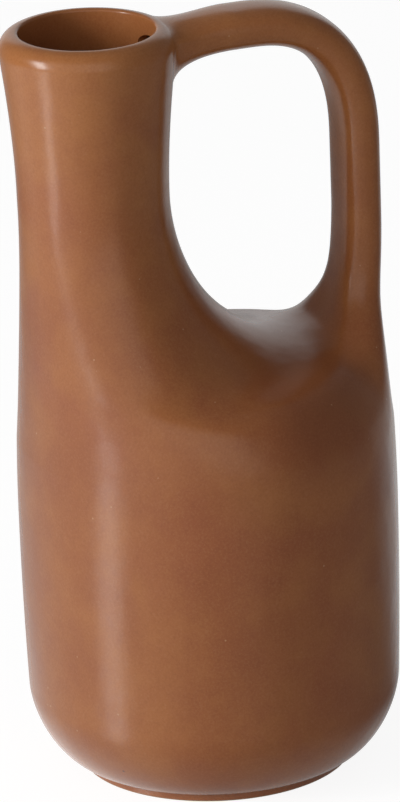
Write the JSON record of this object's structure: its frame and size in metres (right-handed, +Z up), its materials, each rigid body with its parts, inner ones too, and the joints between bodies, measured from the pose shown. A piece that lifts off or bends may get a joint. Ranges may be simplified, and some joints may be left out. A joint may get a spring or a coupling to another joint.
{
  "type": "ceramic vase",
  "caption": "Tall round-bellied ceramic vase with an off-centre flared neck and a hollow loop handle that rises from the shoulder, bends over and runs level into the rim.",
  "frame": {"origin": "on the ground, on the vertical axis of the belly", "axes": "+Z up, +X from the neck towards the handle, the vase is alike on both sides of Y = 0"},
  "size_m": [0.1271, 0.1252, 0.2571],
  "materials": {
    "glaze": "satin brown glaze with a soft sheen, a little mottled, wiped off the standing face of the foot"
  },
  "bodies": {
    "root": {"foot_ring": "glaze", "body": "glaze", "shoulder": "glaze", "neck": "glaze", "handle": "glaze"}
  },
  "joints": []
}
